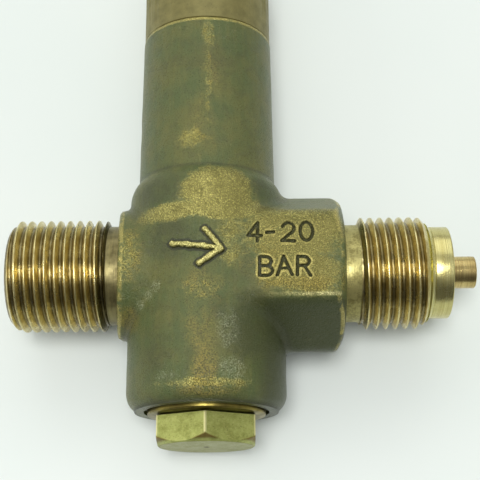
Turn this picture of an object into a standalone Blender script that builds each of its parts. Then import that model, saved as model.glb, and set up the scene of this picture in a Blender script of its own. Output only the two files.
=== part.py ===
"""Brass spring-loaded relief valve, lying on its back.

X runs along the two threaded connections (positive toward the spigot end), Y runs along the
spring column (positive away from the bottom plug) and Z points up. The dimensions below are
in millimetres, from the point where the connection axis crosses the column axis.
"""

import math

import bmesh
import bpy
from mathutils import Matrix, Vector

MM = 0.001
GAP = 0.3
TURNED_STEPS = 44
SMALL_STEPS = 24

# Body along the column axis
BODY_R = 14.4
BODY_BOTTOM_Y = -26.0
BODY_SHOULDER_Y = 16.0
COLUMN_R = 13.0
COLUMN_TOP_R = 12.68
COLUMN_FOOT_Y = 18.6
COLUMN_TOP_Y = 48.0
SPIGOT_R = 11.0
SPIGOT_TOP_Y = 58.0
SPOTFACE_R = 11.34
SPOTFACE_Y = -25.2

# Connections along the X axis
THREAD_R = 10.4775
INLET_FACE_X = -16.2
INLET_NECK_X = -19.0
INLET_END_X = -36.2
INLET_BOSS_R = 12.2
INLET_NECK_R = 9.3
INLET_BORE_R = 5.5
INLET_BORE_X = -20.0
GAUGE_FACE_X = 25.3
GAUGE_NECK_X = 28.1
GAUGE_THREAD_X = 40.6
GAUGE_COLLAR_X = 41.8
GAUGE_END_X = 45.0
GAUGE_PIN_X = 50.2
GAUGE_NECK_R = 9.13
GAUGE_COLLAR_R = 8.6
GAUGE_PIN_R = 3.0
GAUGE_BORE_R = 1.75
HEX_BLOCK_FLATS = 27.0
HEX_BLOCK_ROUND = 1.2
HEX_BLOCK_TURNED_R = 14.9

# Valve seat and the chambers on both sides of it
LOWER_CHAMBER_R = 6.0
LOWER_CHAMBER_Y = -6.0
UPPER_CHAMBER_R = 7.5
UPPER_CHAMBER_Y = -2.0
SEAT_POCKET_R = 5.4
SEAT_POCKET_Y = -4.4
SEAT_HOLE_R = 3.8
SEAT_BORE_R = 2.6
SEAT_LIP_Y = -1.2
SPRING_BORE_R = 9.5
SPRING_BORE_Y = 12.0

# Moving stack
DISC_R = 5.0
STEM_R = 2.5
STEM_TOP_Y = 23.5
BALL_R = 2.0
BALL_Y = 25.2
PLATE_R = 8.2
LOWER_PLATE_Y = 26.0
UPPER_PLATE_Y = 56.3
SPRING_WIRE_R = 0.9
SPRING_MEAN_R = 6.3
SPRING_TURNS = 8.0
SPRING_STEPS_PER_TURN = 18
PLATE_FLANGE = 3.0
PLATE_HUB_R = 4.5
PLATE_HUB = 3.0

# Bush that guides the stem and seals off the spring chamber
BUSH_R = 9.2
BUSH_BOTTOM_Y = 12.3
BUSH_TOP_Y = 19.0
O_RING_Y = 15.7
O_RING_WIRE_R = 0.8
GROOVE_HALF = 1.1
STEM_GROOVE_R = 4.5
BUSH_GROOVE_R = 7.5
LOCK_RING_TOP_Y = 21.4
LOCK_RING_BORE_R = 5.6

# Spring cap, adjusting screw and the cover over it
CAP_R = 12.55
CAP_HEX_FLATS = 22.0
CAP_HEX_Y = 62.5
CAP_TOP_Y = 70.0
CAP_NECK_R = 9.0
CAP_NECK_Y = 74.0
SCREW_R = 4.0
SCREW_TIP_Y = 59.3
SCREW_TOP_Y = 81.3
NUT_FLATS = 13.0
NUT_TOP_Y = 78.6
COVER_R = 11.0
COVER_TOP_Y = 86.4

# Bottom plug
PLUG_FLATS = 17.4
PLUG_HEX_Y = -27.0
PLUG_END_Y = -32.0
PLUG_THREAD_R = 6.58
PLUG_BORE_R = 6.9
PLUG_BORE_Y = -14.0
PLUG_TIP_Y = -15.5
WASHER_R = 10.7

# Flat on the table, with the origin under the middle of the whole valve
OFFSET = Vector((-(INLET_END_X + GAUGE_PIN_X) / 2, -(PLUG_END_Y + COVER_TOP_Y) / 2, BODY_R))

BRASS = ((0.56, 0.41, 0.16, 1.0), 1.0, 0.42)
CAST_BRASS = ((0.30, 0.27, 0.13, 1.0), 0.8, 0.55)
STEEL = ((0.58, 0.59, 0.60, 1.0), 1.0, 0.32)
COPPER = ((0.62, 0.33, 0.20, 1.0), 1.0, 0.40)
RUBBER = ((0.03, 0.03, 0.03, 1.0), 0.0, 0.70)
POLYMER = ((0.86, 0.85, 0.80, 1.0), 0.0, 0.45)


def clear_scene():
    for obj in list(bpy.data.objects):
        bpy.data.objects.remove(obj, do_unlink=True)
    for mesh in list(bpy.data.meshes):
        bpy.data.meshes.remove(mesh)


def new_collection(name, helper=False):
    made = bpy.data.collections.new(name)
    bpy.context.scene.collection.children.link(made)
    made.hide_render = helper
    return made


def lying_matrix(axis):
    """Turns a shape made along Z so that it lies along the asked axis."""
    if axis == "Y":
        return Matrix.Rotation(math.radians(-90), 4, "X")
    if axis == "X":
        return Matrix.Rotation(math.radians(90), 4, "Y")
    return Matrix.Identity(4)


def add_object(name, data, collection, centre, axis="Y"):
    """Links an object whose origin is at `centre` (mm) and whose own Z lies along `axis`."""
    obj = bpy.data.objects.new(name, data)
    collection.objects.link(obj)
    obj.matrix_world = Matrix.Translation(Vector(centre) * MM) @ lying_matrix(axis)
    return obj


def turned(name, profile, collection, centre=(0, 0, 0), axis="Y", steps=TURNED_STEPS, closed=False):
    """Revolves (radius, height) points, listed down the outer side, round the piece's own axis."""
    mesh = bpy.data.meshes.new(name)
    points = [(radius * MM, 0.0, height * MM) for radius, height in profile]
    edges = [(i, i + 1) for i in range(len(points) - 1)]
    if closed:
        edges.append((len(points) - 1, 0))
    mesh.from_pydata(points, edges, [])
    obj = add_object(name, mesh, collection, centre, axis)
    screw = obj.modifiers.new("Turn", "SCREW")
    screw.axis = "Z"
    screw.steps = screw.render_steps = steps
    screw.use_merge_vertices = True
    screw.merge_threshold = 0.00001
    return obj


def rod(name, radius, bottom, top, collection, centre=(0, 0, 0), axis="Y", steps=SMALL_STEPS):
    profile = [(0, top), (radius, top), (radius, bottom), (0, bottom)]
    return turned(name, profile, collection, centre, axis, steps)


def ring(name, outer, inner, bottom, top, collection, steps=TURNED_STEPS, edge=0.2):
    """A flat ring on the column axis with its outer edges broken."""
    profile = [(inner, top), (outer - edge, top), (outer, top - edge), (outer, bottom + edge),
               (outer - edge, bottom), (inner, bottom)]
    return turned(name, profile, collection, steps=steps, closed=True)


def hexagon(name, flats, bottom, top, collection, axis="Y", rounding=0.0):
    """A six-sided prism with a corner along its own Y, and maybe rounded corners."""
    mesh = bpy.data.meshes.new(name)
    shape = bmesh.new()
    radius = flats / math.sqrt(3) * MM
    bmesh.ops.create_cone(shape, cap_ends=True, segments=6, radius1=radius, radius2=radius,
                          depth=(top - bottom) * MM)
    bmesh.ops.translate(shape, vec=(0, 0, (top + bottom) / 2 * MM), verts=shape.verts)
    if rounding:
        upright = [edge for edge in shape.edges
                   if abs(edge.verts[0].co.z - edge.verts[1].co.z) > MM]
        bmesh.ops.bevel(shape, geom=upright, offset=rounding * MM, segments=3, profile=0.5,
                        affect="EDGES")
    shape.to_mesh(mesh)
    shape.free()
    return add_object(name, mesh, collection, (0, 0, 0), axis)


def cut_or_join(obj, other, operation):
    modifier = obj.modifiers.new(f"{operation.title()} {other.name}", "BOOLEAN")
    modifier.operation = operation
    modifier.solver = "EXACT"
    modifier.object = other
    other.display_type = "WIRE"
    other.hide_render = True


def finish(obj, look):
    """Gives the piece its own material."""
    colour, metallic, roughness = look
    material = bpy.data.materials.new(obj.name)
    material.use_nodes = True
    shader = material.node_tree.nodes["Principled BSDF"]
    shader.inputs["Base Color"].default_value = colour
    shader.inputs["Metallic"].default_value = metallic
    shader.inputs["Roughness"].default_value = roughness
    material.diffuse_color = colour
    obj.data.materials.append(material)


def slanted_rod(name, radius, start, end, collection):
    """A round cutter between two points (x, y) in the plane of both axes."""
    a, b = Vector((*start, 0)), Vector((*end, 0))
    obj = rod(name, radius, 0, (b - a).length, collection, steps=24)
    turn = (b - a).to_track_quat("Z", "Y").to_matrix().to_4x4()
    obj.matrix_world = Matrix.Translation(a * MM) @ turn
    return obj


def body_outline():
    """The forged body and its spring column."""
    return [
        (0, SPIGOT_TOP_Y), (SPIGOT_R - 0.6, SPIGOT_TOP_Y), (SPIGOT_R, SPIGOT_TOP_Y - 0.6),
        (SPIGOT_R, COLUMN_TOP_Y), (COLUMN_TOP_R, COLUMN_TOP_Y), (COLUMN_R, COLUMN_FOOT_Y),
        (COLUMN_R + 0.25, COLUMN_FOOT_Y - 0.8), (BODY_R - 0.55, BODY_SHOULDER_Y + 0.6),
        (BODY_R - 0.15, BODY_SHOULDER_Y - 0.6), (BODY_R, BODY_SHOULDER_Y - 2.0),
        (BODY_R, BODY_BOTTOM_Y + 2.6), (BODY_R - 0.35, BODY_BOTTOM_Y + 1.3),
        (BODY_R - 1.0, BODY_BOTTOM_Y + 0.4), (BODY_R - 1.9, BODY_BOTTOM_Y),
        (SPOTFACE_R, BODY_BOTTOM_Y), (SPOTFACE_R, SPOTFACE_Y), (0, SPOTFACE_Y),
    ]


def inlet_outline():
    """The inlet boss and thread, from the column axis outward (heights are -X)."""
    return [
        (0, -INLET_END_X), (THREAD_R - 1.0, -INLET_END_X), (THREAD_R, -INLET_END_X - 0.9),
        (THREAD_R, -INLET_NECK_X + 0.7), (INLET_NECK_R, -INLET_NECK_X),
        (INLET_NECK_R, -INLET_FACE_X), (INLET_BOSS_R - 1.1, -INLET_FACE_X),
        (INLET_BOSS_R, -INLET_FACE_X - 1.0), (INLET_BOSS_R, 4.0), (0, 4.0),
    ]


def gauge_outline():
    """The gauge connection: neck, thread, relief, sealing collar and pin (heights are +X)."""
    return [
        (0, GAUGE_PIN_X), (GAUGE_PIN_R - 0.5, GAUGE_PIN_X), (GAUGE_PIN_R, GAUGE_PIN_X - 0.5),
        (GAUGE_PIN_R, GAUGE_END_X), (GAUGE_COLLAR_R - 0.3, GAUGE_END_X),
        (GAUGE_COLLAR_R, GAUGE_END_X - 0.3), (GAUGE_COLLAR_R, GAUGE_COLLAR_X),
        (GAUGE_COLLAR_R - 0.5, GAUGE_COLLAR_X - 0.4), (GAUGE_COLLAR_R - 0.5, GAUGE_THREAD_X),
        (THREAD_R - 1.0, GAUGE_THREAD_X), (THREAD_R, GAUGE_THREAD_X - 0.9),
        (THREAD_R, GAUGE_NECK_X + 0.7), (GAUGE_NECK_R, GAUGE_NECK_X),
        (GAUGE_NECK_R, 20.0), (0, 20.0),
    ]


def make_valve_body(parts, cutters):
    body = turned("valve_body", body_outline(), parts)
    inlet = turned("inlet_boss", inlet_outline(), cutters)
    inlet.matrix_world = Matrix.Rotation(math.radians(-90), 4, "Y")
    gauge = turned("gauge_end", gauge_outline(), cutters, axis="X")
    block = hexagon("hex_block", HEX_BLOCK_FLATS, 2.0, GAUGE_FACE_X, cutters, axis="X",
                    rounding=HEX_BLOCK_ROUND)
    limit = turned("hex_block_limit", [
        (0, GAUGE_FACE_X + 2), (HEX_BLOCK_TURNED_R - 3.6, GAUGE_FACE_X + 2),
        (HEX_BLOCK_TURNED_R - 2.4, GAUGE_FACE_X), (HEX_BLOCK_TURNED_R, GAUGE_FACE_X - 1.4),
        (HEX_BLOCK_TURNED_R, 1.0), (0, 1.0)], cutters, axis="X")
    cut_or_join(block, limit, "INTERSECT")
    for piece in (inlet, gauge, block):
        cut_or_join(body, piece, "UNION")
    bores = [
        turned("column_bore", [
            (0, SPIGOT_TOP_Y + 2), (SPRING_BORE_R, SPIGOT_TOP_Y + 2),
            (SPRING_BORE_R, SPRING_BORE_Y), (UPPER_CHAMBER_R, SPRING_BORE_Y),
            (UPPER_CHAMBER_R, UPPER_CHAMBER_Y), (SEAT_POCKET_R, UPPER_CHAMBER_Y),
            (SEAT_POCKET_R, SEAT_POCKET_Y), (SEAT_HOLE_R, SEAT_POCKET_Y),
            (SEAT_HOLE_R, LOWER_CHAMBER_Y - 2), (0, LOWER_CHAMBER_Y - 2)], cutters),
        turned("plug_bore", [
            (0, LOWER_CHAMBER_Y), (LOWER_CHAMBER_R, LOWER_CHAMBER_Y),
            (LOWER_CHAMBER_R, PLUG_BORE_Y), (PLUG_BORE_R, PLUG_BORE_Y - 0.9),
            (PLUG_BORE_R, SPOTFACE_Y - 3), (0, SPOTFACE_Y - 3)], cutters),
        rod("inlet_bore", INLET_BORE_R, INLET_END_X - 2, INLET_BORE_X, cutters, axis="X"),
        rod("gauge_bore", GAUGE_BORE_R, 2.0, GAUGE_PIN_X + 2, cutters, axis="X", steps=24),
        slanted_rod("inlet_passage", 2.5, (-22.0, 0.6), (-3.5, -10.1), cutters),
    ]
    for bore in bores:
        cut_or_join(body, bore, "DIFFERENCE")
    finish(body, CAST_BRASS)


def make_seat(parts):
    seat = turned("seat_ring", [
        (SEAT_BORE_R, SEAT_LIP_Y), (SEAT_BORE_R + 0.5, SEAT_LIP_Y), (SEAT_BORE_R + 0.9, -1.7),
        (SEAT_POCKET_R - GAP, -1.7), (SEAT_POCKET_R - GAP, SEAT_POCKET_Y + 1.0),
        (SEAT_HOLE_R - GAP, SEAT_POCKET_Y + 1.0), (SEAT_HOLE_R - GAP, LOWER_CHAMBER_Y + 0.1),
        (SEAT_BORE_R, LOWER_CHAMBER_Y + 0.1)], parts, steps=SMALL_STEPS, closed=True)
    finish(seat, STEEL)
    gasket = ring("seat_gasket", SEAT_POCKET_R - GAP, SEAT_HOLE_R, SEAT_POCKET_Y + 0.15,
                  SEAT_POCKET_Y + 0.85, parts, SMALL_STEPS, 0.1)
    finish(gasket, COPPER)


def make_valve_disc(parts):
    disc = turned("valve_disc", [
        (0, 1.1), (1.8, 1.1), (1.8, 3.0), (DISC_R - 0.8, 3.0), (DISC_R, 2.2), (DISC_R, -0.5),
        (DISC_R - 0.5, -0.5), (DISC_R - 0.5, 0.8), (0, 0.8)], parts, steps=SMALL_STEPS)
    finish(disc, STEEL)
    seal = turned("disc_seal", [
        (0, 0.5), (DISC_R - 0.8, 0.5), (DISC_R - 0.8, -0.75), (DISC_R - 0.95, -0.9), (0, -0.9)],
        parts, steps=SMALL_STEPS)
    finish(seal, POLYMER)


def make_stem(parts):
    stem = turned("valve_stem", [
        (0, STEM_TOP_Y - 1.1), (1.9, STEM_TOP_Y), (STEM_R - 0.2, STEM_TOP_Y),
        (STEM_R, STEM_TOP_Y - 0.3), (STEM_R, 3.6), (STEM_R - 0.3, 3.3), (1.5, 3.3), (1.5, 1.6),
        (1.2, 1.4), (0, 1.4)], parts, steps=SMALL_STEPS)
    finish(stem, STEEL)
    ball = turned("thrust_ball", [
        (BALL_R * math.sin(math.pi * i / 12), BALL_Y + BALL_R * math.cos(math.pi * i / 12))
        for i in range(13)], parts, steps=24)
    finish(ball, STEEL)
    flange_top = LOWER_PLATE_Y + PLATE_FLANGE
    plate = turned("lower_spring_plate", [
        (0, flange_top + PLATE_HUB), (PLATE_HUB_R - 0.6, flange_top + PLATE_HUB),
        (PLATE_HUB_R, flange_top + PLATE_HUB - 0.6), (PLATE_HUB_R, flange_top),
        (PLATE_R, flange_top), (PLATE_R, LOWER_PLATE_Y + 0.9), (PLATE_HUB_R, LOWER_PLATE_Y),
        (BALL_R + 0.6, LOWER_PLATE_Y), (0, LOWER_PLATE_Y + 2.1)], parts, steps=SMALL_STEPS)
    finish(plate, STEEL)


def make_guide(parts, cutters):
    bore, groove_low, groove_high = STEM_R + GAP, O_RING_Y - GROOVE_HALF, O_RING_Y + GROOVE_HALF
    bush = turned("guide_bush", [
        (bore, BUSH_TOP_Y), (BUSH_R - 0.3, BUSH_TOP_Y), (BUSH_R, BUSH_TOP_Y - 0.3),
        (BUSH_R, groove_high), (BUSH_GROOVE_R, groove_high), (BUSH_GROOVE_R, groove_low),
        (BUSH_R, groove_low), (BUSH_R, BUSH_BOTTOM_Y + 0.3), (BUSH_R - 0.3, BUSH_BOTTOM_Y),
        (bore, BUSH_BOTTOM_Y), (bore, groove_low), (STEM_GROOVE_R, groove_low),
        (STEM_GROOVE_R, groove_high), (bore, groove_high)], parts, closed=True)
    finish(bush, BRASS)
    lock = ring("bush_lock_ring", BUSH_R, LOCK_RING_BORE_R, BUSH_TOP_Y + GAP, LOCK_RING_TOP_Y, parts)
    for side in (-1, 1):
        slot = rod(f"lock_ring_slot_{side}", 0.9, BUSH_TOP_Y, LOCK_RING_TOP_Y + 1, cutters, steps=12)
        slot.location.x = side * (BUSH_R + LOCK_RING_BORE_R) / 2 * MM
        cut_or_join(lock, slot, "DIFFERENCE")
    finish(lock, BRASS)
    for name, inner in (("stem_o_ring", STEM_R + 0.25), ("bush_o_ring", BUSH_GROOVE_R + 0.2)):
        centre = inner + O_RING_WIRE_R
        section = [(centre + O_RING_WIRE_R * math.sin(math.tau * i / 12),
                    O_RING_Y + O_RING_WIRE_R * math.cos(math.tau * i / 12)) for i in range(12)]
        o_ring = turned(name, section, parts, steps=SMALL_STEPS, closed=True)
        finish(o_ring, RUBBER)


def spring_points():
    """Centre line of the closed-end main spring, from the lower plate to the upper one."""
    bottom = LOWER_PLATE_Y + PLATE_FLANGE + GAP + SPRING_WIRE_R
    top = UPPER_PLATE_Y - GAP - SPRING_WIRE_R
    dead = 2 * SPRING_WIRE_R + 0.15
    count = int(SPRING_TURNS * SPRING_STEPS_PER_TURN)
    points = []
    for i in range(count + 1):
        turn = i / SPRING_STEPS_PER_TURN
        if turn < 1:
            height = bottom + dead * turn
        elif turn > SPRING_TURNS - 1:
            height = top - dead * (SPRING_TURNS - turn)
        else:
            share = (turn - 1) / (SPRING_TURNS - 2)
            height = bottom + dead + (top - bottom - 2 * dead) * share
        angle = math.tau * turn
        points.append((SPRING_MEAN_R * math.cos(angle), SPRING_MEAN_R * math.sin(angle), height))
    return points


def make_spring(parts):
    curve = bpy.data.curves.new("main_spring", "CURVE")
    curve.dimensions = "3D"
    curve.bevel_depth = SPRING_WIRE_R * MM
    curve.bevel_resolution = 2
    curve.use_fill_caps = True
    points = spring_points()
    line = curve.splines.new("POLY")
    line.points.add(len(points) - 1)
    for point, place in zip(line.points, points):
        point.co = (*(Vector(place) * MM), 1.0)
    spring = add_object("main_spring", curve, parts, (0, 0, 0))
    finish(spring, STEEL)


def make_upper_plate(parts):
    flange_top, hub_end = UPPER_PLATE_Y + PLATE_FLANGE - 0.3, UPPER_PLATE_Y - PLATE_HUB
    plate = turned("upper_spring_plate", [
        (0, UPPER_PLATE_Y + 1.6), (2.6, flange_top), (PLATE_R - 0.3, flange_top),
        (PLATE_R, flange_top - 0.3), (PLATE_R, UPPER_PLATE_Y), (PLATE_HUB_R, UPPER_PLATE_Y),
        (PLATE_HUB_R, hub_end + 0.6), (PLATE_HUB_R - 0.6, hub_end), (0, hub_end)],
        parts, steps=SMALL_STEPS)
    finish(plate, STEEL)


def make_spring_cap(parts, cutters):
    seam = COLUMN_TOP_Y + GAP
    cap = turned("spring_cap", [
        (0, CAP_NECK_Y), (CAP_NECK_R - 0.6, CAP_NECK_Y), (CAP_NECK_R, CAP_NECK_Y - 0.6),
        (CAP_NECK_R, CAP_TOP_Y), (COVER_R - 0.6, CAP_TOP_Y), (CAP_R, CAP_TOP_Y - 0.9),
        (CAP_R, seam), (SPIGOT_R + GAP, seam), (SPIGOT_R + GAP, SPIGOT_TOP_Y + GAP),
        (PLATE_R + 0.8, SPIGOT_TOP_Y + GAP), (PLATE_R + 0.8, 63.5), (6.8, 65.5), (0, 65.5)],
        parts)
    hexagonal = hexagon("cap_hexagon", CAP_HEX_FLATS, CAP_HEX_Y, CAP_TOP_Y + 6, cutters)
    sleeve = turned("cap_sleeve_keep", [
        (0, CAP_HEX_Y + 0.01), (CAP_R + 1, CAP_HEX_Y + 0.01), (CAP_R + 1, seam - 1),
        (0, seam - 1)], cutters)
    cut_or_join(hexagonal, sleeve, "UNION")
    cut_or_join(cap, hexagonal, "INTERSECT")
    hole = rod("cap_screw_hole", SCREW_R + GAP, 60.0, CAP_NECK_Y + 2, cutters)
    cut_or_join(cap, hole, "DIFFERENCE")
    finish(cap, BRASS)


def make_adjusting_screw(parts, cutters):
    screw = turned("adjusting_screw", [
        (0, SCREW_TOP_Y), (SCREW_R - 0.5, SCREW_TOP_Y), (SCREW_R, SCREW_TOP_Y - 0.5),
        (SCREW_R, SCREW_TIP_Y + 1.9), (2.6, SCREW_TIP_Y + 0.6), (1.6, SCREW_TIP_Y),
        (0, SCREW_TIP_Y - 0.5)], parts, steps=SMALL_STEPS)
    slot = bpy.data.meshes.new("screw_slot")
    shape = bmesh.new()
    bmesh.ops.create_cube(shape, size=1.0)
    bmesh.ops.scale(shape, vec=(12 * MM, 1.2 * MM, 4 * MM), verts=shape.verts)
    shape.to_mesh(slot)
    shape.free()
    cutter = add_object("screw_slot", slot, cutters, (0, SCREW_TOP_Y, 0))
    cut_or_join(screw, cutter, "DIFFERENCE")
    finish(screw, STEEL)


def chamfered_hexagon(name, flats, bottom, top, both_ends, parts, cutters):
    """A hexagon whose corners are turned back at 30 degrees at its top, and maybe its bottom."""
    piece = hexagon(name, flats, bottom, top, parts)
    face_r, corner_r = flats / 2 - 0.3, flats / math.sqrt(3) + 0.4
    drop = (corner_r - face_r) * math.tan(math.radians(30))
    profile = [(0, top), (face_r, top), (corner_r, top - drop)]
    if both_ends:
        profile += [(corner_r, bottom + drop), (face_r, bottom), (0, bottom)]
    else:
        profile += [(corner_r, bottom - 1), (0, bottom - 1)]
    limit = turned(f"{name}_limit", profile, cutters)
    cut_or_join(piece, limit, "INTERSECT")
    return piece


def make_lock_nut(parts, cutters):
    nut = chamfered_hexagon("lock_nut", NUT_FLATS, CAP_NECK_Y + GAP, NUT_TOP_Y, True, parts,
                            cutters)
    hole = rod("nut_hole", SCREW_R + GAP, CAP_NECK_Y - 2, NUT_TOP_Y + 2, cutters)
    cut_or_join(nut, hole, "DIFFERENCE")
    finish(nut, BRASS)


def make_cover(parts, cutters):
    gasket = ring("cover_gasket", COVER_R - 0.3, CAP_NECK_R + GAP, CAP_TOP_Y + 0.2,
                  CAP_TOP_Y + 1.2, parts, TURNED_STEPS, 0.1)
    finish(gasket, POLYMER)
    bottom = CAP_TOP_Y + 1.5
    cover = turned("cover_cap", [
        (0, COVER_TOP_Y), (COVER_R - 2.2, COVER_TOP_Y), (COVER_R - 0.7, COVER_TOP_Y - 0.6),
        (COVER_R, COVER_TOP_Y - 2.0), (COVER_R, bottom + 0.4), (COVER_R - 0.4, bottom),
        (CAP_NECK_R + GAP, bottom), (CAP_NECK_R + GAP, COVER_TOP_Y - 3.4),
        (CAP_NECK_R - 1.0, COVER_TOP_Y - 2.0), (0, COVER_TOP_Y - 2.0)], parts)
    for i in range(16):
        angle = math.tau * i / 16
        groove = rod(f"grip_{i}", 0.8, bottom + 3.0, COVER_TOP_Y - 3.0, cutters, steps=8)
        groove.location.x = (COVER_R + 0.35) * MM * math.cos(angle)
        groove.location.z = (COVER_R + 0.35) * MM * math.sin(angle)
        cut_or_join(cover, groove, "DIFFERENCE")
    finish(cover, BRASS)


def make_bottom_plug(parts, cutters):
    """The hexagon is made pointing up its own axis, then turned to point down the column."""
    plug = chamfered_hexagon("bottom_plug", PLUG_FLATS, -PLUG_HEX_Y, -PLUG_END_Y, False, parts,
                             cutters)
    shank = turned("plug_shank", [
        (0, -PLUG_HEX_Y + 1), (PLUG_THREAD_R, -PLUG_HEX_Y + 1), (PLUG_THREAD_R, -PLUG_TIP_Y + 0.8),
        (PLUG_THREAD_R - 0.8, -PLUG_TIP_Y), (4.0, -PLUG_TIP_Y), (4.0, -PLUG_TIP_Y + 6.0),
        (0, -PLUG_TIP_Y + 6.0)], cutters, steps=SMALL_STEPS)
    over = Matrix.Rotation(math.radians(90), 4, "X")
    for obj in (plug, shank, bpy.data.objects["bottom_plug_limit"]):
        obj.matrix_world = over
    cut_or_join(plug, shank, "UNION")
    finish(plug, BRASS)
    washer = ring("plug_washer", WASHER_R, PLUG_THREAD_R + GAP, PLUG_HEX_Y + 0.2,
                  SPOTFACE_Y - 0.2, parts)
    finish(washer, COPPER)


def make_throttle(parts):
    throttle = turned("throttle_insert", [
        (0.5, 48.0), (1.2, 48.0), (1.45, 47.7), (1.45, 43.2), (1.2, 43.0), (0.5, 43.0)], parts,
        axis="X", steps=16, closed=True)
    finish(throttle, BRASS)


def stand_on_table():
    """Moves every piece and cutter from the axes' crossing to its place above the table."""
    holder = bpy.data.objects.new("valve_frame", None)
    bpy.context.scene.collection.objects.link(holder)
    bpy.context.view_layer.update()
    for obj in list(bpy.data.objects):
        if obj is not holder:
            obj.parent = holder
    holder.location = OFFSET * MM


def main():
    clear_scene()
    parts = new_collection("pressure_relief_valve")
    cutters = new_collection("cutters", helper=True)
    make_valve_body(parts, cutters)
    make_seat(parts)
    make_valve_disc(parts)
    make_stem(parts)
    make_guide(parts, cutters)
    make_spring(parts)
    make_upper_plate(parts)
    make_spring_cap(parts, cutters)
    make_adjusting_screw(parts, cutters)
    make_lock_nut(parts, cutters)
    make_cover(parts, cutters)
    make_bottom_plug(parts, cutters)
    make_throttle(parts)
    stand_on_table()


main()
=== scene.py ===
"""Looks of the brass relief valve: forged body, turned ends, plug, cap, light and camera.

Shapes are worked out in millimetres from the point where the connection axis crosses the
column axis (X along the connections, Y up the column, Z up from the table), and are then
placed in the frame's metres.
"""

import math

import bmesh
import bpy
import numpy as np
from mathutils import Matrix, Vector, noise


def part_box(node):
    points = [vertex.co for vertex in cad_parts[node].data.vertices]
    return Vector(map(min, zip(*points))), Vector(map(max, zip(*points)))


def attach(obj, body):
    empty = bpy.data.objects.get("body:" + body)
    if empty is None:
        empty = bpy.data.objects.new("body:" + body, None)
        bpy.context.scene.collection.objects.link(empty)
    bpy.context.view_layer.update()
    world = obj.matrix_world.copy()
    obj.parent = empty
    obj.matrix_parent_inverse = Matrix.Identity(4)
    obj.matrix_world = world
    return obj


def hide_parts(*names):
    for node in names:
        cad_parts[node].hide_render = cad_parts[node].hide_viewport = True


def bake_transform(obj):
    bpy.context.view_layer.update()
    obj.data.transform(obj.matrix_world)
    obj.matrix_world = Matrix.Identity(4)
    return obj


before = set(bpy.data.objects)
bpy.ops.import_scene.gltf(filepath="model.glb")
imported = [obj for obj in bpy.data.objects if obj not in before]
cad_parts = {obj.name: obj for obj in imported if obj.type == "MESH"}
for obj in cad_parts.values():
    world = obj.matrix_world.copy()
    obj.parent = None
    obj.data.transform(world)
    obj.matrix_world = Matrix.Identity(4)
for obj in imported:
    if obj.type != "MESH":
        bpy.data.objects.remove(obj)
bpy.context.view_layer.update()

MM = 0.001


def middle(node):
    low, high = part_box(node)
    return (low + high) / 2


CROSS = Vector((middle("bottom_plug").x, middle("throttle_insert").y, middle("bottom_plug").z))


def reach(node, axis, side):
    """How far a node reaches from the crossing point, in mm, along an axis (0, 1, 2)."""
    low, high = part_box(node)
    return ((high if side > 0 else low)[axis] - CROSS[axis]) / MM


# Body, in mm from the crossing point
BODY_R = -reach("valve_body", 2, -1)
BODY_BOTTOM = -26.0
BODY_TOP = 18.1
BODY_SIDE_R = 14.55
COLUMN_R = 13.0
COLUMN_TOP_R = 12.68
COLUMN_TOP = 48.0
SPIGOT_R = 11.0
SPIGOT_TOP = 58.0
BOSS_HALF_WIDTH = 12.3
BOSS_HALF_HEIGHT = 11.5
BOSS_FACE = 16.5
BOSS_DRAFT = 0.09
BLOCK_HALF = 13.5
BLOCK_ROUND_R = 14.9
BLOCK_FACE = 25.3
SPOTFACE_R = 11.34
SPOTFACE_Y = -25.2

# Bores inside the forging; the column's are (radius, end) from the top down
COLUMN_BORES = ((9.5, 12.0), (7.5, -2.0), (5.4, -4.4), (3.8, -8.0))
CHAMBER_R = 6.0
CHAMBER_TOP = -6.0
CHAMBER_BOTTOM = -14.0
PLUG_BORE_R = 6.9
INLET_BORE_R = 5.4
GAUGE_BORE_R = 1.75
PASSAGE_R = 2.5
PASSAGE_SLOPE = math.radians(30)
PASSAGE_MIDDLE = Vector((-13.0, -4.6, 0))

# Pipe threads; necks, crests and ends count from the column axis
THREAD_R = 10.4775
THREAD_PITCH = 1.8143
THREAD_HEIGHT = 0.9605 * THREAD_PITCH
THREAD_ROOT_R = THREAD_R - 0.6403 * THREAD_PITCH
THREAD_STEP = 0.05
THREAD_RUN_IN = 2.2
THREAD_TIP = 1.35
THREAD_TIP_SLOPE = 1.12
INLET_NECK = 18.0
INLET_NECK_R = 9.3
INLET_CREST = 19.76
INLET_END = -reach("valve_body", 0, -1)
GAUGE_NECK = 28.3
GAUGE_NECK_R = 9.13
GAUGE_CREST = 29.24
GAUGE_THREAD_END = 40.9
GAUGE_END = 45.0
GAUGE_PIN = reach("valve_body", 0, 1)
COLLAR_START = GAUGE_THREAD_END + 0.8
COLLAR_R = 8.6
PIN_R = 3.0

# Plug, spring cap and cover
PLUG_FLATS = 17.4
PLUG_TOP = -27.0
PLUG_END = reach("bottom_plug", 1, -1)
PLUG_SHANK_R = 6.58
PLUG_SHANK_TOP = -15.5
CHAMFER_SLOPE = math.tan(math.radians(37))
WASHER_R = 10.7
WASHER_BORE_R = 7.0
WASHER_BOTTOM = -26.75
CAP_R = 12.55
CAP_BOTTOM = reach("spring_cap", 1, -1)
CAP_HEX = 62.5
CAP_HEX_FLATS = 22.0
CAP_TOP = 70.0
CAP_NECK_R = 9.0
CAP_NECK_TOP = reach("spring_cap", 1, 1)
CAP_BORE_R = 9.0
CAP_BORE_TOP = 65.5
SCREW_HOLE_R = 4.3
COVER_R = 11.0
COVER_BOTTOM = reach("cover_cap", 1, -1)
COVER_TOP = reach("cover_cap", 1, 1)
COVER_BORE_R = 9.3
COVER_GROOVES = 16
GROOVE_R = 0.8

# Main spring
SPRING_WIRE_R = 0.9
SPRING_TURNS = 8
SPRING_DEAD_COIL = 2 * SPRING_WIRE_R + 0.15
COIL_STEPS = 48
WIRE_STEPS = 16

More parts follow.
